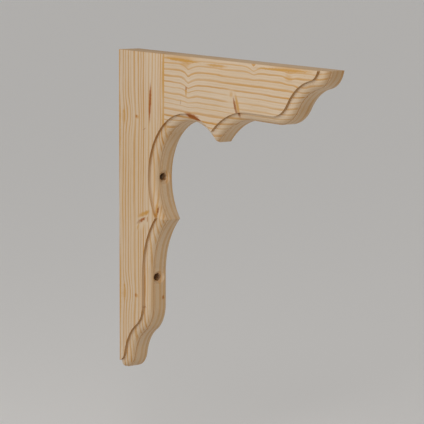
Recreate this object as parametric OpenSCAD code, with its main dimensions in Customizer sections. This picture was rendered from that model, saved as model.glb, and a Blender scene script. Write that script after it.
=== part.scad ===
// Wooden shelf bracket (corbel) of two softwood boards glued edge to end, with one scroll-cut,
// moulded inner edge running through both. The upright is screwed to a wall and the arm carries a shelf.
//
// Frame: wall face in the plane X = 0, +X out from the wall, +Z up to the shelf, boards centred on Y = 0.
// The origin is the middle of the face that lies on the wall. The moulded face looks to -Y. Millimetres.

/* [Overall] */
// Height of the upright
height = 290; // [275:1:360]
// Reach of the arm from the wall
reach = 293; // [275:1:360]
// Thickness of both boards
thickness = 21; // [19:0.5:30]
// Width of the upright's board, which is also where the arm is jointed on
board_width = 74; // [70:0.5:90]

/* [Shaped edge] */
// Width of the upright along its straight part
upright_width = 45.5; // [36:0.5:52]
// Depth of the arm along its straight part
arm_depth = 46.5; // [36:0.5:52]
// Radius of the large arch in the inner corner
arch_radius = 54; // [45:0.5:57]
// Distance of the arch's centre from the wall and below the shelf
arch_centre = 109; // [104:0.5:116]
// Radius of the scoop between the arch and the straight part of each limb
scoop_radius = 69; // [60:1:84]
// Distance from the outer corner at which each scoop starts
scoop_start = 196; // [190:1:204]
// Radius of the round heel at the end of each straight part
heel_radius = 30.5; // [24:0.5:36]
// Distance of the heel from the limb's end
heel_length = 65; // [60:0.5:72]
// Radius of the hollow between heel and toe
hollow_radius = 39; // [30:0.5:48]
// Radius of the round toe at the limb's end
toe_radius = 19; // [15:0.5:23]
// How far the toe's centre lies beyond the limb's outer face
toe_offset = 3.5; // [1:0.5:6]

/* [Moulding] */
// Depth of the sunk step round the face
step_depth = 2.6; // [1:0.1:4]
// Width of the flat between the step and the round
flat_width = 0.6; // [0.3:0.1:2]
// Radius of the rounded edge
round_radius = 6; // [3:0.5:7]
// Width of the small ledge left under the round
ledge_width = 0.4; // [0.2:0.1:1]

/* [Screw holes] */
// Diameter of the clearance hole
screw_bore = 6.6; // [4:0.1:8]
// Diameter of the countersink's rim
countersink_rim = 12; // [8.5:0.1:13]
// Distance of the holes from the moulded face
hole_setback = 13; // [11:0.5:14]
// Distance between the two holes
hole_spacing = 91; // [70:1:96]

/* [Hidden] */
$fn = 96;

clear = 5;                                   // how far every cutter runs past the wood
overrun = 8;                                 // degrees that an arc's cutter runs past its end
shy = 0.02;                                  // moulding cutters differ by this, so none share a surface
bite = 0.005;                                // overlap where one curve of the outline runs into the next
top = height / 2;
bottom = -height / 2;
face = thickness / 2;                        // moulded face, measured from the mid plane
moulding_width = ledge_width + round_radius + flat_width;
moulding_depth = step_depth + round_radius;
hole_y = hole_setback - face;
upper_hole_z = top - arch_centre;            // level with the arch's centre
lower_hole_z = upper_hole_z - hole_spacing;

// Where two circles cross; side picks the crossing to the left (1) or right (-1) of the line a to b.
function crossing(a, ra, b, rb, side) =
    let (
        gap = norm(b - a),
        along = (ra * ra - rb * rb + gap * gap) / (2 * gap),
        across = sqrt(ra * ra - along * along),
        way = (b - a) / gap
    )
    a + along * way + side * across * [-way[1], way[0]];

function towards(a, b) = (b - a) / norm(b - a);
function bearing(a, b) = atan2(b[1] - a[1], b[0] - a[0]);

// Each limb is drawn lying along the first axis from its free end, outer face on the second axis's zero.
function heel_centre(width) = [heel_length, width - heel_radius];
function toe_centre() = [sqrt(toe_radius * toe_radius - toe_offset * toe_offset), -toe_offset];
function hollow_centre(width) =
    crossing(toe_centre(), toe_radius + hollow_radius, heel_centre(width), heel_radius + hollow_radius, 1);
function scoop_centre(length, width) = [length - scoop_start, width + scoop_radius];
function arch_middle(length) = [length - arch_centre, arch_centre];
function point_of(length, width) =
    crossing(scoop_centre(length, width), scoop_radius, arch_middle(length), arch_radius, 1);

// Surface of the upright's shaped edge at a height on the straight part or on the scoop.
function edge_x(z) =
    let (above = max(0, z - (top - scoop_start)))
    upright_width + scoop_radius - sqrt(scoop_radius * scoop_radius - above * above);

// Outline of one limb, sawn from a board of the stated width and cut off square at the stated run.
module limb_outline(length, width, run) {
    toe = toe_centre();
    heel = heel_centre(width);
    hollow = hollow_centre(width);
    edge = width - bite;
    difference() {
        intersection() {
            translate([-clear, 0]) square([run + clear, board_width]);
            union() {
                polygon([
                    [toe[0], 0],
                    toe + toe_radius / 2 * towards(toe, hollow),
                    hollow,
                    heel + heel_radius / 2 * towards(heel, hollow),
                    [heel_length, edge],
                    [length - scoop_start + clear, edge],
                    [point_of(length, width)[0], board_width],
                    [run, board_width],
                    [run, 0]
                ]);
                translate(toe) circle(toe_radius);
                translate(heel) circle(heel_radius);
            }
        }
        translate(hollow) circle(hollow_radius + bite);
        translate(scoop_centre(length, width)) circle(scoop_radius + 2 * bite);
        translate(arch_middle(length)) circle(arch_radius);
    }
}

// What the moulding removes: first axis inwards from the edge, second axis up out of the face.
module moulding_section(held_back) {
    corner = ledge_width + round_radius;
    translate([-held_back, held_back])
        difference() {
            polygon([
                [-clear, clear],
                [moulding_width, clear],
                [moulding_width, -step_depth],
                [corner, -step_depth],
                [corner, -moulding_depth],
                [-clear, -moulding_depth]
            ]);
            translate([corner, -moulding_depth]) circle(round_radius);
        }
}

// Moulding cutters. A round keeps the wood inside its circle and stops dead where the next curve takes
// over. A straight or a hollow runs on past its end, held back a hair more, where it touches nothing.
module round_cutter(centre, radius, from, to) {
    translate([centre[0], centre[1], face])
        rotate([0, 0, from])
            rotate_extrude(angle = to - from)
                translate([radius, 0]) mirror([1, 0]) moulding_section(0);
}

module straight_cutter(start, run) {
    translate([start[0] - clear, start[1], face])
        rotate([90, 0, 90])
            linear_extrude(run + clear) mirror([1, 0]) moulding_section(shy);
}

module hollow_cutter(centre, radius, from, to, held_back) {
    translate([centre[0], centre[1], face])
        rotate([0, 0, from - overrun])
            rotate_extrude(angle = to - from + 2 * overrun)
                translate([radius, 0]) moulding_section(held_back);
}

// Moulding cutters of one limb, from past its free end to past the point at the arch.
module limb_cutters(length, width) {
    toe = toe_centre();
    heel = heel_centre(width);
    hollow = hollow_centre(width);
    scoop = scoop_centre(length, width);
    round_cutter(toe, toe_radius, bearing(toe, hollow), 180 + overrun);
    hollow_cutter(hollow, hollow_radius, bearing(hollow, toe), bearing(hollow, heel), 2 * shy);
    round_cutter(heel, heel_radius, 90, bearing(heel, hollow));
    straight_cutter([heel_length, width], length - scoop_start - heel_length);
    hollow_cutter(scoop, scoop_radius, -90, bearing(scoop, point_of(length, width)), 2 * shy);
}

// Moulding cutter of the arch, which runs through both boards.
module arch_cutter() {
    upright_point = point_of(height, upright_width);
    arm_point = point_of(reach, arm_depth);
    centre = [arch_centre, top - arch_centre];
    hollow_cutter(
        centre,
        arch_radius,
        bearing(centre, [reach - arm_point[0], top - arm_point[1]]),
        bearing(centre, [upright_point[1], bottom + upright_point[0]]) + 360,
        3 * shy
    );
}

// Puts a limb drawn in its own axes on the wall, or under the shelf.
module as_upright() { translate([0, bottom, 0]) mirror([1, -1, 0]) children(); }
module as_arm() { translate([reach, top, 0]) rotate([0, 0, 180]) children(); }

// Stands a shape drawn in the plane of the boards upright, moulded face towards -Y.
module stand() { rotate([90, 0, 0]) children(); }

// Countersunk clearance hole along +X, coming out of the shaped edge at the stated distance.
module screw_hole(z, surface) {
    sink = (countersink_rim - screw_bore) / 2;
    translate([0, hole_y, z])
        rotate([0, 90, 0]) {
            translate([0, 0, -clear]) cylinder(h = surface + 2 * clear, d = screw_bore);
            translate([0, 0, surface - sink])
                cylinder(h = sink + clear, d1 = screw_bore, d2 = countersink_rim + 2 * clear);
        }
}

// Upright: grain vertical, outer edge flat on the wall, drilled for two screws.
module upright() {
    color("burlywood")
        difference() {
            stand()
                difference() {
                    linear_extrude(thickness, center = true)
                        as_upright() limb_outline(height, upright_width, height);
                    as_upright() limb_cutters(height, upright_width);
                    arch_cutter();
                }
            screw_hole(upper_hole_z, arch_centre - arch_radius);
            screw_hole(lower_hole_z, edge_x(lower_hole_z));
        }
}

// Arm: grain horizontal, its inner end glued to the upright's front edge, top flat under the shelf.
module arm() {
    color("wheat")
        stand()
            difference() {
                linear_extrude(thickness, center = true)
                    as_arm() limb_outline(reach, arm_depth, reach - board_width);
                as_arm() limb_cutters(reach, arm_depth);
                arch_cutter();
            }
}

upright();
arm();
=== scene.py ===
"""Looks of a wooden shelf bracket: two planed pine boards glued edge to end, scroll-cut and moulded."""

import math

import bpy
from mathutils import Matrix, Vector


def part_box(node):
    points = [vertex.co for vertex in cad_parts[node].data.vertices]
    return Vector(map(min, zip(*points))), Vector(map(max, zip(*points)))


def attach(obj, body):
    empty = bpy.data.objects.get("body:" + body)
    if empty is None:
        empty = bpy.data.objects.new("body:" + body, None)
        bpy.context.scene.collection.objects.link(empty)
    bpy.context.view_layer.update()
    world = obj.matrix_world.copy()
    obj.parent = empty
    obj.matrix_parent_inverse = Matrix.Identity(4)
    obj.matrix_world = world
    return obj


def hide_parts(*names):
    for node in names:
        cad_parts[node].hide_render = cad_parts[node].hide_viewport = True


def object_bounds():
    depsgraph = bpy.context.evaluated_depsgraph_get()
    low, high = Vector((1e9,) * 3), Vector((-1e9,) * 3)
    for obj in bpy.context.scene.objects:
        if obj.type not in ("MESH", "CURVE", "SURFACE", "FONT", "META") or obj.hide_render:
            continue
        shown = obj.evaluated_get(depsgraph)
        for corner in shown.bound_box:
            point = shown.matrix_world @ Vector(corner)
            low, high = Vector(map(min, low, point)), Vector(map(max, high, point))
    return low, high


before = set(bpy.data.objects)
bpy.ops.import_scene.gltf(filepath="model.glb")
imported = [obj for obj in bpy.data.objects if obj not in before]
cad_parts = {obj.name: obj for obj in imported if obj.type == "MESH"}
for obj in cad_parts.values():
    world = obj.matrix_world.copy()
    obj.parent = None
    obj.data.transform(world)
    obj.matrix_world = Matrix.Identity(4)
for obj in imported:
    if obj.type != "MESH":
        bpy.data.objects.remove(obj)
cad_low, cad_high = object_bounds()


# ---------------------------------------------------------------------------------------------------
# Studio: a wide pale floor below the bracket, a broad sun-like key light and a large soft box, both from
# the moulded side and from above, and even light from all round. None of it belongs to the object.

FLOOR_COLOUR = (0.88, 0.875, 0.87)
FLOOR_ROUGHNESS = 0.9
FLOOR_SHINE = 0.1
FLOOR_DROP = 0.10
FLOOR_WIDTH = 80.0
ROOM_LIGHT = (1.0, 0.985, 0.965)
ROOM_STRENGTH = 0.33
LAMP_COLOUR = (1.0, 0.97, 0.93)
KEY_FROM = (0.15, -1.0, 0.40)
KEY_STRENGTH = 0.93
KEY_SPREAD = math.radians(150)
BOX_PLACE = (0.62, -0.72, 0.60)
BOX_WIDTH = 0.7
BOX_POWER = 3.1

bpy.ops.object.select_all(action="DESELECT")
bpy.ops.mesh.primitive_plane_add(size=FLOOR_WIDTH, location=(0, 0, cad_low.z - FLOOR_DROP))
floor = bpy.context.object
floor.name = "studio_floor"

floor_paint = bpy.data.materials.new("studio_floor_paint")
floor_paint.use_nodes = True
floor_shader = floor_paint.node_tree.nodes["Principled BSDF"]
floor_shader.inputs["Base Color"].default_value = (*FLOOR_COLOUR, 1)
floor_shader.inputs["Roughness"].default_value = FLOOR_ROUGHNESS
floor_shader.inputs["Specular IOR Level"].default_value = FLOOR_SHINE
floor.data.materials.append(floor_paint)

room = bpy.data.worlds.new("studio_room")
room.use_nodes = True
room.node_tree.nodes["Background"].inputs["Color"].default_value = (*ROOM_LIGHT, 1)
room.node_tree.nodes["Background"].inputs["Strength"].default_value = ROOM_STRENGTH
bpy.context.scene.world = room
bpy.context.scene.view_settings.view_transform = "Standard"


def add_light(kind, name, place, power):
    """A warm white lamp at a place, turned to the middle of the bracket."""
    bpy.ops.object.light_add(type=kind, location=place)
    lamp = bpy.context.object
    lamp.name = name
    lamp.data.energy = power
    lamp.data.color = LAMP_COLOUR
    lamp.rotation_euler = ((cad_low + cad_high) / 2 - Vector(place)).to_track_quat("-Z", "Y").to_euler()
    return lamp


key = add_light("SUN", "key_light", KEY_FROM, KEY_STRENGTH)
key.data.angle = KEY_SPREAD
soft_box = add_light("AREA", "soft_box", BOX_PLACE, BOX_POWER)
soft_box.data.size = BOX_WIDTH
soft_box.visible_camera = False

CAMERA_PLACE = (1.3176, -0.8158, 0.2468)
CAMERA_AZIMUTH = math.radians(55.47)
CAMERA_TILT = math.radians(9.12)
CAMERA_ROLL = math.radians(0.33)
CAMERA_LENS = 147.4

bpy.ops.object.camera_add(location=CAMERA_PLACE)
camera = bpy.context.object
camera.name = "studio_camera"
turned = Matrix.Rotation(CAMERA_AZIMUTH, 3, "Z") @ Matrix.Rotation(math.pi / 2 - CAMERA_TILT, 3, "X")
camera.rotation_euler = (turned @ Matrix.Rotation(CAMERA_ROLL, 3, "Z")).to_euler()
camera.data.lens = CAMERA_LENS
bpy.context.scene.camera = camera


# ---------------------------------------------------------------------------------------------------
# Upright: the board that is screwed to the wall. Planed pine with its grain running up and down,
# band-sawn to the scroll line, moulded on one side only, sanded, and drilled and countersunk twice.

MM = 0.001
FAR_EASING = 1.1 * MM
FAR_STEPS = 3
ARRIS_EASING = 0.4 * MM
ARRIS_STEPS = 2
SMOOTH_UNDER = math.radians(28)
NEAR_ENOUGH = 0.02 * MM
MERGE_WITHIN = NEAR_ENOUGH / 10
joint_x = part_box("upright")[1].x
near_y, far_y = cad_low.y, cad_high.y
wall_x, shelf_z = cad_low.x, cad_high.z


def same(a, b):
    """Whether two places along an axis are one and the same."""
    return abs(a - b) < NEAR_ENOUGH


def board_from(node_name, piece_name):
    """A copy of a CAD node, its triangles joined and each flat side made one face, ready to be worked."""
    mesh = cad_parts[node_name].data.copy()
    mesh.name = piece_name
    mesh.materials.clear()
    board = bpy.data.objects.new(piece_name, mesh)
    bpy.context.scene.collection.objects.link(board)
    bpy.ops.object.select_all(action="DESELECT")
    bpy.context.view_layer.objects.active = board
    board.select_set(True)
    bpy.ops.mesh.customdata_custom_splitnormals_clear()
    bpy.ops.object.mode_set(mode="EDIT")
    bpy.ops.mesh.select_mode(type="FACE")
    bpy.ops.mesh.select_all(action="SELECT")
    bpy.ops.mesh.remove_doubles(threshold=MERGE_WITHIN)
    for axis, level in ((1, near_y), (1, far_y), (0, wall_x), (0, joint_x), (2, shelf_z)):
        bpy.ops.mesh.select_all(action="DESELECT")
        bpy.ops.object.mode_set(mode="OBJECT")
        corners = board.data.vertices
        for face in board.data.polygons:
            face.select = all(same(corners[i].co[axis], level) for i in face.vertices)
        bpy.ops.object.mode_set(mode="EDIT")
        if board.data.total_face_sel:
            bpy.ops.mesh.dissolve_faces()
    bpy.ops.object.mode_set(mode="OBJECT")
    return board


def ease_edges(board, wanted, width, segments):
    """Rounds each edge that wanted picks by its two ends, apart from those on the glue line."""
    bpy.ops.object.mode_set(mode="EDIT")
    bpy.ops.mesh.select_mode(type="EDGE")
    bpy.ops.mesh.select_all(action="DESELECT")
    bpy.ops.object.mode_set(mode="OBJECT")
    corners = board.data.vertices
    for edge in board.data.edges:
        a, b = (corners[i].co for i in edge.vertices)
        edge.select = wanted(a, b) and not (same(a.x, joint_x) and same(b.x, joint_x))
    bpy.ops.object.mode_set(mode="EDIT")
    bpy.ops.mesh.bevel(offset=width, segments=segments, profile=0.5, affect="EDGES")
    bpy.ops.object.mode_set(mode="OBJECT")


def on_outer_sides(a, b):
    """Both ends on the wall face, or both under the shelf."""
    return (same(a.x, wall_x) and same(b.x, wall_x)) or (same(a.z, shelf_z) and same(b.z, shelf_z))


def plain_edge(a, b):
    """An edge of the plain face along the sawn outline."""
    return same(a.y, far_y) and same(b.y, far_y) and not on_outer_sides(a, b)


def arris(a, b):
    """A straight edge between a face and the wall or shelf side."""
    return on_outer_sides(a, b) and same(a.y, b.y) and (same(a.y, near_y) or same(a.y, far_y))


def sand(board):
    """Eases the edges and smooths the curved surfaces."""
    ease_edges(board, plain_edge, FAR_EASING, FAR_STEPS)
    ease_edges(board, arris, ARRIS_EASING, ARRIS_STEPS)
    bpy.ops.object.shade_smooth_by_angle(angle=SMOOTH_UNDER)


upright = board_from("upright", "upright_board")
sand(upright)


def put(tree, kind, inputs, **settings):
    """Adds a node with the given settings; an input is a number, a vector or another node's socket."""
    made = tree.nodes.new(kind)
    for name, value in settings.items():
        setattr(made, name, value)
    for name, value in inputs.items():
        if isinstance(value, bpy.types.NodeSocket):
            tree.links.new(value, made.inputs[name])
        else:
            made.inputs[name].default_value = value
    return made


def reckon(tree, operation, first, second=0.0, third=0.0):
    """One arithmetic step; returns its result's socket."""
    return put(tree, "ShaderNodeMath", {0: first, 1: second, 2: third}, operation=operation).outputs[0]


def fade(tree, value, low, high, to_low=0.0, to_high=1.0):
    """Value eased from low to high into to_low to to_high; returns the socket."""
    levels = {"Value": value, "From Min": low, "From Max": high, "To Min": to_low, "To Max": to_high}
    return put(tree, "ShaderNodeMapRange", levels, interpolation_type="SMOOTHSTEP").outputs["Result"]


def noise(tree, vector, scale, detail=2.0, roughness=0.5):
    """Noise from 0 to 1 at a scale for each axis; returns its value's socket."""
    spread = put(tree, "ShaderNodeVectorMath", {0: vector, 1: scale}, operation="MULTIPLY")
    grain = {"Vector": spread.outputs[0], "Scale": 1.0, "Detail": detail, "Roughness": roughness}
    return put(tree, "ShaderNodeTexNoise", grain).outputs["Fac"]


def wobble(tree, vector, scale):
    """Noise to both sides of zero at a scale for each axis; returns the socket."""
    return reckon(tree, "SUBTRACT", noise(tree, vector, scale), 0.5)


def new_group(name, inputs, outputs):
    """A shader node group with named sockets; returns the group, its input node and its output node."""
    group = bpy.data.node_groups.new(name, "ShaderNodeTree")
    for socket, kind in inputs:
        group.interface.new_socket(socket, in_out="INPUT", socket_type=kind)
    for socket, kind in outputs:
        group.interface.new_socket(socket, in_out="OUTPUT", socket_type=kind)
    return group, group.nodes.new("NodeGroupInput"), group.nodes.new("NodeGroupOutput")


def make_soft_spot():
    """How near a point is to a place: 1 at the place, falling off like a bell over the three radii."""
    group, given, result = new_group(
        "soft_spot",
        [("Board", "NodeSocketVector"), ("Place", "NodeSocketVector"),
         ("Turn", "NodeSocketVector"), ("Radii", "NodeSocketVector")],
        [("Near", "NodeSocketFloat")],
    )
    local = put(group, "ShaderNodeMapping", {
        "Vector": given.outputs["Board"], "Location": given.outputs["Place"],
        "Rotation": given.outputs["Turn"], "Scale": given.outputs["Radii"],
    }, vector_type="TEXTURE")
    away = put(group, "ShaderNodeVectorMath", {0: local.outputs[0], 1: local.outputs[0]},
               operation="DOT_PRODUCT").outputs["Value"]
    nearness = reckon(group, "POWER", math.e, reckon(group, "MULTIPLY", away, -1.0))
    group.links.new(nearness, result.inputs["Near"])
    return group


# Growth rings. A scale is how often a noise changes in a millimetre across, through and along the grain.
DRIFT_SCALE = (0.016, 0.016, 0.0045)
RIPPLE_SCALE = (0.07, 0.07, 0.030)
RIPPLE_WIDTH = 2.2
UNEVEN_SCALE = 0.09
UNEVEN_WIDTH = 4.0
FEATHER_SCALE = (1.6, 1.6, 0.06)
FEATHER_SHARE = 0.14
FICKLE_SCALE = (0.12, 0.12, 0.014)
FICKLE_SPAN = (0.3, 0.6)
FAINTEST_STRETCH = 0.65
FAINTEST_RING = 0.6
FINE_LINE_STRENGTH = 0.22

# Places and lengths within one ring, which runs from 0 at the start of its early wood to 1 at the end of
# its late wood.
STRONG_BEGINS_SOONER = 0.22
DARKENS_OVER = 0.26
LATE_WOOD_END = (1.0, 0.93)
FINE_LINE_START = (0.12, 0.26)
FINE_LINE_END = (0.42, 0.28)


def make_growth_rings():
    """Late-wood lines of the growth rings round a pith. Board is (across, through, along) in millimetres."""
    group, given, result = new_group(
        "growth_rings",
        [("Board", "NodeSocketVector"), ("Pith Across", "NodeSocketFloat"),
         ("Pith Through", "NodeSocketFloat"), ("Ring Width", "NodeSocketFloat"),
         ("Wander", "NodeSocketFloat"), ("Push", "NodeSocketFloat"), ("Seed", "NodeSocketFloat"),
         ("Begins", "NodeSocketFloat")],
        [("Line", "NodeSocketFloat"), ("Depth", "NodeSocketFloat")],
    )
    board = given.outputs["Board"]
    axes = put(group, "ShaderNodeSeparateXYZ", {0: board})
    across = reckon(group, "SUBTRACT", axes.outputs[0], given.outputs["Pith Across"])
    through = reckon(group, "SUBTRACT", axes.outputs[1], given.outputs["Pith Through"])
    squares = reckon(group, "MULTIPLY_ADD", across, across, reckon(group, "MULTIPLY", through, through))
    radius = reckon(group, "ADD", reckon(group, "SQRT", squares), given.outputs["Push"])
    drift = wobble(group, board, DRIFT_SCALE)
    radius = reckon(group, "MULTIPLY_ADD", drift, given.outputs["Wander"], radius)
    radius = reckon(group, "MULTIPLY_ADD", wobble(group, board, RIPPLE_SCALE), RIPPLE_WIDTH, radius)
    seeded = reckon(group, "MULTIPLY_ADD", radius, UNEVEN_SCALE, given.outputs["Seed"])
    uneven = put(group, "ShaderNodeTexNoise", {"W": seeded, "Scale": 1.0, "Detail": 1.0},
                 noise_dimensions="1D").outputs["Fac"]
    radius = reckon(group, "MULTIPLY_ADD", uneven, UNEVEN_WIDTH, radius)
    phase = reckon(group, "DIVIDE", radius, given.outputs["Ring Width"])
    phase = reckon(group, "MULTIPLY_ADD", wobble(group, board, FEATHER_SCALE), FEATHER_SHARE, phase)
    within = reckon(group, "FRACT", phase)
    ring = reckon(group, "ADD", reckon(group, "FLOOR", phase), given.outputs["Seed"])
    chance = put(group, "ShaderNodeTexWhiteNoise", {"W": ring}, noise_dimensions="1D").outputs["Value"]
    depth = reckon(group, "MULTIPLY_ADD", chance, 1.0 - FAINTEST_RING, FAINTEST_RING)
    begins = reckon(group, "MULTIPLY_ADD", depth, -STRONG_BEGINS_SOONER, given.outputs["Begins"])
    rise = fade(group, within, begins, reckon(group, "ADD", begins, DARKENS_OVER))
    fall = fade(group, within, *LATE_WOOD_END)
    late = reckon(group, "MULTIPLY", reckon(group, "MULTIPLY", rise, fall), depth)
    fine_rise = fade(group, within, *FINE_LINE_START)
    fine = reckon(group, "MULTIPLY", fine_rise, fade(group, within, *FINE_LINE_END))
    fine = reckon(group, "MULTIPLY", fine, reckon(group, "MULTIPLY", depth, FINE_LINE_STRENGTH))
    fickle = fade(group, noise(group, board, FICKLE_SCALE), *FICKLE_SPAN, FAINTEST_STRETCH)
    line = reckon(group, "MULTIPLY", reckon(group, "ADD", late, fine), fickle)
    group.links.new(line, result.inputs["Line"])
    group.links.new(depth, result.inputs["Depth"])
    return group


# Fibres, with the same kind of scales, and how much each kind of grain raises or sinks the surface.
STREAK_SCALE = (2.4, 2.4, 0.03)
CLOUD_SCALE = (0.045, 0.045, 0.010)
PORE_SCALE = (3.4, 3.4, 0.22)
PORE_SPAN = (0.70, 0.80)
LINE_HEIGHT = 0.6
STREAK_HEIGHT = 0.6
PORE_DEPTH = 0.5


def make_fibres():
    """Fine streaks along the grain, broad changes of tone, and the open grain felt under a finger."""
    group, given, result = new_group(
        "fibres",
        [("Board", "NodeSocketVector"), ("Line", "NodeSocketFloat")],
        [("Streak", "NodeSocketFloat"), ("Cloud", "NodeSocketFloat"), ("Pores", "NodeSocketFloat"),
         ("Height", "NodeSocketFloat")],
    )
    board = given.outputs["Board"]
    streak = noise(group, board, STREAK_SCALE, detail=3.0, roughness=0.65)
    pores = fade(group, noise(group, board, PORE_SCALE, detail=1.0), *PORE_SPAN)
    height = reckon(group, "MULTIPLY", streak, STREAK_HEIGHT)
    height = reckon(group, "MULTIPLY_ADD", given.outputs["Line"], LINE_HEIGHT, height)
    height = reckon(group, "MULTIPLY_ADD", pores, -PORE_DEPTH, height)
    group.links.new(streak, result.inputs["Streak"])
    group.links.new(noise(group, board, CLOUD_SCALE), result.inputs["Cloud"])
    group.links.new(pores, result.inputs["Pores"])
    group.links.new(height, result.inputs["Height"])
    return group


soft_spot = make_soft_spot()
growth_rings = make_growth_rings()
fibres = make_fibres()


def use_group(tree, group, inputs):
    """Places a node group with its inputs."""
    placed = tree.nodes.new("ShaderNodeGroup")
    placed.node_tree = group
    for name, value in inputs.items():
        if isinstance(value, bpy.types.NodeSocket):
            tree.links.new(value, placed.inputs[name])
        else:
            placed.inputs[name].default_value = value
    return placed


def blend(tree, share, first, second, mode="MIX"):
    """Two colours blended by share; returns the colour's socket."""
    mixed = tree.nodes.new("ShaderNodeMix")
    mixed.data_type = "RGBA"
    mixed.blend_type = mode
    for socket, value in ((mixed.inputs[0], share), (mixed.inputs[6], first), (mixed.inputs[7], second)):
        if isinstance(value, bpy.types.NodeSocket):
            tree.links.new(value, socket)
        else:
            socket.default_value = value if isinstance(value, float) else (*value, 1)
    return mixed.outputs[2]


CREAM = (0.725, 0.58, 0.425)
WARM = (0.705, 0.545, 0.375)
RING = (0.615, 0.33, 0.088)
STRONG_RING = (0.585, 0.29, 0.062)
END_GRAIN = (0.92, 0.87, 0.80)
SAWN_EDGE = (0.89, 0.825, 0.735)
# painted shade for the wall of the sunk step and the crease at the foot of the round
STEP_SHADE_COLOUR = (0.64, 0.475, 0.27)
PORE = (0.86, 0.76, 0.62)
CLOUD_SPAN = (0.36, 0.64)
STREAK_SPAN = (0.25, 0.75)
STREAK_SHADE = (0.93, 1.05)
GLOSS_SPAN = (0.2, 0.8)
ROUGHNESS = (0.56, 0.48)
SHINE = 0.2
RELIEF = 0.25
RELIEF_HEIGHT = 0.12 * MM

# The rings that show on the sawn edges: fainter and straighter, round a pith far to the plain side.
EDGE_RINGS = {"Pith Through": 220.0, "Ring Width": 4.6, "Wander": 3.0, "Begins": 0.6}
EDGE_SEED_STEP = 5
EDGE_SHARE = 0.62

# How far a surface has to face one way, as the share of its normal that points there.
FACE_SPAN = (0.14, 0.42)
SAWN_SPAN = (0.97, 0.40)
END_SPAN = (0.5, 1.0)
UNDERSIDE_SPAN = (0.30, -0.45)

# Painted shade, in millimetres through the board: on the wall of the sunk step, darker towards the face
# and where it looks down, and a thin line in the crease at the foot of the round. The wall and shelf
# sides get none.
STEP_DEPTH = 2.6
ROUND_RADIUS = 6.0
FACE = near_y / MM
STEP_FLOOR = FACE + STEP_DEPTH
LEDGE = STEP_FLOOR + ROUND_RADIUS
STEP_SPAN = (STEP_FLOOR + 0.15, STEP_FLOOR - 0.05)
STEP_WALL = (STEP_FLOOR, STEP_FLOOR - 2.2)
STEP_SHADE_SHARE = (0.6, 1.0)
UNDERSIDE_SHADE_SHARE = (0.12, 1.0)
FOOT_START = (LEDGE - 1.5, LEDGE - 0.5)
FOOT_END = (LEDGE + 0.1, LEDGE - 0.1)
FOOT_SHADE_SHARE = (0.0, 0.5)
CLEAN_MARGIN = 0.6
CLEAN_FADE = 0.3
SHADE_WALL_SPAN = (wall_x / MM + CLEAN_MARGIN - CLEAN_FADE, wall_x / MM + CLEAN_MARGIN)
SHADE_SHELF_SPAN = (shelf_z / MM - CLEAN_MARGIN + CLEAN_FADE, shelf_z / MM - CLEAN_MARGIN)

# A stain's ragged outline: how fine it is, and how far it strays across, through and along the grain.
RAGGED_SCALE = 0.45
RAGGED_STRAY = (1.6, 1.6, 3.0)
NOISE_MIDDLE = (0.5, 0.5, 0.5)


def tint(tree, share, colour, darkening):
    """The colour multiplied by a darker colour where share is 1, for the wood's own tones and for painted
    shade; returns the colour's socket.
    """
    return blend(tree, share, colour, blend(tree, 1.0, colour, darkening, "MULTIPLY"))


def near(tree, board, where, turn, radii):
    """How near the board's wood is to a place; turn is in degrees, in the plane of the face."""
    spot = {"Board": board, "Place": where, "Turn": (0, math.radians(turn), 0), "Radii": radii}
    return use_group(tree, soft_spot, spot).outputs["Near"]


def grown_wood(tree, board, facing, rings, edge_pith, bends):
    """The wood as it grew, with no stains; returns the colour's socket and the placed fibres."""
    push = 0.0
    for where, turn, radii, amount in bends:
        push = reckon(tree, "MULTIPLY_ADD", near(tree, board, where, turn, radii), amount, push)
    on_face = use_group(tree, growth_rings, {"Board": board, "Push": push, **rings})
    edge_rings = {"Pith Across": edge_pith, "Seed": rings["Seed"] + EDGE_SEED_STEP, **EDGE_RINGS}
    on_edge = use_group(tree, growth_rings, {"Board": board, **edge_rings})
    edge_line = reckon(tree, "MULTIPLY", on_edge.outputs["Line"], EDGE_SHARE)
    line = put(tree, "ShaderNodeMix", {0: facing, 2: edge_line, 3: on_face.outputs["Line"]}).outputs[0]
    fibre = use_group(tree, fibres, {"Board": board, "Line": line})

    colour = blend(tree, fade(tree, fibre.outputs["Cloud"], *CLOUD_SPAN), CREAM, WARM)
    late = blend(tree, fade(tree, on_face.outputs["Depth"], FAINTEST_RING, 1.0), RING, STRONG_RING)
    colour = blend(tree, line, colour, late)
    streak = fade(tree, fibre.outputs["Streak"], *STREAK_SPAN, *STREAK_SHADE)
    shade = put(tree, "ShaderNodeCombineColor", {0: streak, 1: streak, 2: streak}).outputs[0]
    colour = blend(tree, 1.0, colour, shade, "MULTIPLY")
    return tint(tree, fibre.outputs["Pores"], colour, PORE), fibre


def marked_wood(tree, board, colour, marks):
    """The colour with knots, pitch streaks, their halos and the painted shade inside the drilled holes;
    returns its socket.
    """
    noisy = put(tree, "ShaderNodeTexNoise", {"Vector": board, "Scale": RAGGED_SCALE, "Detail": 3.0})
    stray = put(tree, "ShaderNodeVectorMath", {0: noisy.outputs["Color"], 1: NOISE_MIDDLE},
                operation="SUBTRACT").outputs[0]
    ragged = put(tree, "ShaderNodeVectorMath", {0: stray, 1: RAGGED_STRAY, 2: board},
                 operation="MULTIPLY_ADD").outputs[0]
    for where, turn, radii, edge, mark, share in marks:
        inside = near(tree, ragged, where, turn, radii)
        colour = blend(tree, fade(tree, inside, 0.5 - edge, 0.5 + edge, 0.0, share), colour, mark)
    return colour


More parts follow.
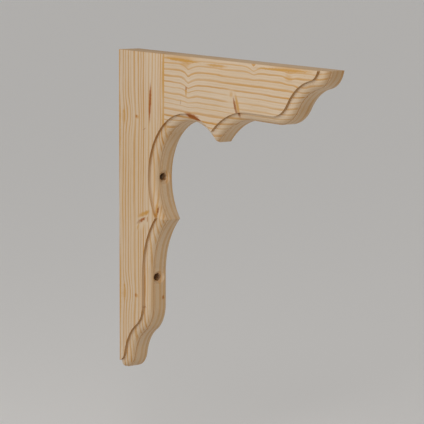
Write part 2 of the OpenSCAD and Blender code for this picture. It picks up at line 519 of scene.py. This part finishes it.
def cut_wood(tree, colour, spot, normal, along):
    """The colour with its end grain, its sawn edges and painted shade on the step's wall and in the crease
    at the foot of the round; returns its socket.
    """
    x, y, z = spot.outputs
    end_on = fade(tree, reckon(tree, "ABSOLUTE", normal.outputs[along]), *END_SPAN)
    colour = tint(tree, end_on, colour, END_GRAIN)
    sawn = fade(tree, reckon(tree, "ABSOLUTE", normal.outputs[1]), *SAWN_SPAN)
    colour = tint(tree, sawn, colour, SAWN_EDGE)
    cut = reckon(tree, "MULTIPLY", sawn, fade(tree, x, *SHADE_WALL_SPAN))
    cut = reckon(tree, "MULTIPLY", cut, fade(tree, z, *SHADE_SHELF_SPAN))
    # painted shade: on the step's wall, deeper towards the face and where it looks down, and along the
    # crease at the foot of the round
    painted_shade = reckon(tree, "MULTIPLY", cut, fade(tree, y, *STEP_SPAN))
    painted_shade = reckon(tree, "MULTIPLY", painted_shade, fade(tree, y, *STEP_WALL, *STEP_SHADE_SHARE))
    painted_shade = reckon(tree, "MULTIPLY", painted_shade, fade(tree, normal.outputs[2], *UNDERSIDE_SPAN, *UNDERSIDE_SHADE_SHARE))
    foot = fade(tree, y, *FOOT_START, *FOOT_SHADE_SHARE)
    foot = reckon(tree, "MULTIPLY", foot, fade(tree, y, *FOOT_END))
    painted_shade = reckon(tree, "MAXIMUM", painted_shade, reckon(tree, "MULTIPLY", foot, cut))
    return tint(tree, painted_shade, colour, STEP_SHADE_COLOUR)


def pine_material(name, axes, rings, edge_pith, bends, marks):
    """Planed pine under a thin satin lacquer. axes says which of X, Y, Z run across, through and along.

    bends are (place, turn, radii, push): where the rings step aside round a knot.
    The last argument lists (place, turn, radii, edge, colour, share) for knots, pitch streaks, their halos
    and the painted shade inside the drilled holes.
    Places and radii are in millimetres across, through and along the grain, and edge is how soft a
    stain's outline is.
    """
    material = bpy.data.materials.new(name)
    material.use_nodes = True
    tree = material.node_tree
    shader = tree.nodes["Principled BSDF"]
    place = put(tree, "ShaderNodeTexCoord", {})
    in_mm = put(tree, "ShaderNodeVectorMath", {0: place.outputs["Object"], "Scale": 1 / MM},
                operation="SCALE")
    spot = put(tree, "ShaderNodeSeparateXYZ", {0: in_mm.outputs[0]})
    turned_to_grain = {i: spot.outputs[axis] for i, axis in enumerate(axes)}
    board = put(tree, "ShaderNodeCombineXYZ", turned_to_grain).outputs[0]
    normal = put(tree, "ShaderNodeSeparateXYZ", {0: place.outputs["Normal"]})
    facing = fade(tree, reckon(tree, "ABSOLUTE", normal.outputs[1]), *FACE_SPAN)

    colour, fibre = grown_wood(tree, board, facing, rings, edge_pith, bends)
    colour = marked_wood(tree, board, colour, marks)
    colour = cut_wood(tree, colour, spot, normal, axes[2])
    gloss = fade(tree, fibre.outputs["Streak"], *GLOSS_SPAN, *ROUGHNESS)
    bumps = {"Height": fibre.outputs["Height"], "Strength": RELIEF, "Distance": RELIEF_HEIGHT}
    tree.links.new(colour, shader.inputs["Base Color"])
    tree.links.new(gloss, shader.inputs["Roughness"])
    tree.links.new(put(tree, "ShaderNodeBump", bumps).outputs[0], shader.inputs["Normal"])
    shader.inputs["Specular IOR Level"].default_value = SHINE
    return material


PITCH_RED = (0.385, 0.112, 0.01)
KNOT_BROWN = (0.35, 0.125, 0.028)
KNOT_RUST = (0.47, 0.185, 0.03)
KNOT_ORANGE = (0.60, 0.315, 0.07)
# painted shade for the inside of the drilled holes
BORE_SHADE_COLOUR = (0.37, 0.175, 0.062)
RESIN_GOLD = (0.61, 0.33, 0.085)
PALE = (0.72, 0.565, 0.395)
UPRIGHT_EDGE_PITH = 30.0
HOLE_SETBACK = 13
UPPER_HOLE = (20, FACE + HOLE_SETBACK, 36)
LOWER_HOLE = (20, FACE + HOLE_SETBACK, -55)
# how far the painted shade reaches round each hole
HOLE_SHADE_RADII = (150, 4.0, 4.0)

upright_rings = {
    "Pith Across": -70.0, "Pith Through": -85.0, "Ring Width": 3.9, "Wander": 5.0, "Seed": 3.0,
    "Begins": 0.62,
}
upright_bends = [
    ((19, FACE, 88), 0, (13, 30, 13), -2.6),
    ((17, FACE, -72), 0, (13, 30, 13), -2.6),
]
upright_marks = [
    # pale wood round the large knot
    ((39, FACE, -5), 66, (7, 5, 13), 0.4, PALE, 0.75),
    # gold resin along the glue line and along the wall side
    ((73.2, FACE, 128), 0.8, (3.3, 4, 27), 0.4, RESIN_GOLD, 0.9),
    ((73.0, FACE, 78), -0.8, (3.3, 4, 26), 0.4, RESIN_GOLD, 0.85),
    ((1.2, FACE, 74), 0, (2.0, 4, 30), 0.35, RESIN_GOLD, 0.9),
    ((1.4, FACE, -68), 0, (2.0, 4, 42), 0.35, RESIN_GOLD, 0.9),
    # pitch streak above the arch
    ((51.4, FACE, 101.5), 3.5, (2.0, 4, 18), 0.26, PITCH_RED, 1.0),
    # two small knots high up and two low down
    ((8.7, FACE, 86), 0, (3.8, 4, 6.5), 0.45, KNOT_ORANGE, 0.5),
    ((8.4, FACE, 91), 0, (1.8, 4, 1.8), 0.4, KNOT_ORANGE, 0.8),
    ((30.6, FACE, 87.8), 0, (3.0, 4, 1.8), 0.4, KNOT_ORANGE, 0.65),
    ((29.1, FACE, 87.8), 0, (1.7, 4, 1.5), 0.3, KNOT_RUST, 0.85),
    ((8.7, FACE, -74), 0, (3.8, 4, 6.5), 0.45, KNOT_ORANGE, 0.5),
    ((8.4, FACE, -67), 0, (1.8, 4, 1.8), 0.4, KNOT_ORANGE, 0.8),
    ((29.1, FACE, -72.7), 0, (3.0, 4, 1.8), 0.4, KNOT_ORANGE, 0.6),
    ((27.6, FACE, -72.7), 0, (1.7, 4, 1.4), 0.3, KNOT_RUST, 0.95),
    # large knot, slanting across the board, and its way out on the moulding
    ((41, FACE, 2.6), 71, (1.9, 4, 9.8), 0.4, KNOT_ORANGE, 0.85),
    ((46.5, FACE, 4.8), 66, (1.9, 4, 4.2), 0.35, KNOT_ORANGE, 0.85),
    ((37.0, FACE, -3.7), 66, (1.7, 4, 8.5), 0.35, KNOT_BROWN, 0.65),
    ((39.5, FACE, -2.6), 66, (1.3, 4, 4.5), 0.3, PITCH_RED, 0.9),
    ((47.3, FACE, -1.2), 10, (1.2, 4, 2.8), 0.35, KNOT_RUST, 0.65),
    ((32.0, FACE, -9.5), 30, (1.3, 4, 4.0), 0.45, KNOT_ORANGE, 0.65),
    ((41, FACE, -11), 15, (1.6, 4, 5.5), 0.45, KNOT_ORANGE, 0.45),
    ((57.6, -6.5, 6.5), -4, (1.6, 6, 7), 0.45, KNOT_ORANGE, 0.85),
    ((58.9, -6.5, 7.5), -4, (1.1, 6, 4), 0.3, KNOT_BROWN, 1.0),
    # painted shade inside the two drilled holes
    (UPPER_HOLE, 0, HOLE_SHADE_RADII, 0.12, BORE_SHADE_COLOUR, 1.0),
    (LOWER_HOLE, 0, HOLE_SHADE_RADII, 0.12, BORE_SHADE_COLOUR, 1.0),
    # small knot on the sawn edge and two dark specks
    ((45.5, 7.3, -73.2), 0, (2, 1.3, 2.1), 0.3, KNOT_RUST, 0.85),
    ((42.0, FACE, 78), 65, (0.7, 3, 3.5), 0.3, KNOT_BROWN, 0.45),
    ((38.8, -8, -81.8), 80, (0.7, 3, 2.5), 0.3, KNOT_BROWN, 0.5),
]
upright.data.materials.append(pine_material(
    "pine_upright", (0, 1, 2), upright_rings, UPRIGHT_EDGE_PITH, upright_bends, upright_marks))
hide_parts("upright")
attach(upright, "root")


# ---------------------------------------------------------------------------------------------------
# Arm: the board that carries the shelf. Same stock with its grain running out from the wall, its
# sawn end glued to the upright's front edge, then cut and moulded in one pass with the upright.

arm = board_from("arm", "arm_board")
sand(arm)

ARM_EDGE_PITH = 112.0
arm_rings = {
    "Pith Across": 250.0, "Pith Through": -32.0, "Ring Width": 4.9, "Wander": 5.0, "Seed": 11.0,
    "Begins": 0.72,
}
arm_bends = [
    ((126, FACE, 112), 0, (24, 30, 8.5), -2.9),
    ((127, FACE, 110.5), 0, (15, 30, 3.2), -1.5),
    ((142, FACE, 204), 0, (6.5, 30, 6.5), -2.6),
    ((142, FACE, 204), 0, (5, 30, 2.6), -1.2),
    ((137, FACE, 251), 0, (6, 30, 7), -1.6),
    ((130, FACE, 266), 0, (5, 30, 7), -2.2),
]
arm_stains = [
    # pale wood round the large knot
    ((115, FACE, 173), 0, (9, 5, 6.5), 0.4, PALE, 0.7),
    # gold resin along the shelf side
    ((143.2, FACE, 98), 0, (2.4, 4, 26), 0.45, RESIN_GOLD, 0.45),
    ((141.6, FACE, 100), -1, (1.4, 4, 28), 0.2, RESIN_GOLD, 1.0),
    ((140.2, FACE, 152), 0, (1.3, 4, 16), 0.35, RESIN_GOLD, 0.85),
    ((143.8, FACE, 250), 0, (2.6, 4, 24), 0.45, RESIN_GOLD, 0.5),
    ((142.8, FACE, 243), 1, (1.0, 4, 40), 0.25, RESIN_GOLD, 0.9),
    # faint orange where the rings bend, and a small knot below the first
    ((138.5, FACE, 106), 0, (3.0, 4, 7), 0.45, KNOT_ORANGE, 0.5),
    ((137, FACE, 250), 0, (3.0, 4, 5), 0.45, KNOT_ORANGE, 0.45),
    ((115.6, FACE, 107.6), 90, (1.1, 4, 4.2), 0.35, KNOT_ORANGE, 0.9),
    ((118.3, FACE, 107.5), 0, (1.6, 4, 1.1), 0.3, PITCH_RED, 0.8),
    # pitch streak on the moulding over the arch
    ((95.5, -7.0, 116.5), -7, (3.8, 5.5, 17), 0.16, PITCH_RED, 1.0),
    # large knot above the scoop, and a speck above the arch
    ((110.5, FACE, 182.0), 108, (2.0, 6, 9.5), 0.4, KNOT_ORANGE, 0.85),
    ((118.5, FACE, 173.5), 90, (2.4, 5, 2.6), 0.45, KNOT_ORANGE, 0.5),
    ((110.4, FACE, 178.3), 108, (1.7, 5, 6.5), 0.3, KNOT_BROWN, 0.95),
    ((104.3, -7.5, 181), 100, (2.0, 5, 4.5), 0.35, KNOT_BROWN, 0.9),
    ((106, FACE, 99.3), 90, (0.7, 3, 2.4), 0.3, KNOT_BROWN, 0.4),
]
arm.data.materials.append(pine_material(
    "pine_arm", (2, 1, 0), arm_rings, ARM_EDGE_PITH, arm_bends, arm_stains))
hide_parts("arm")
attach(arm, "root")
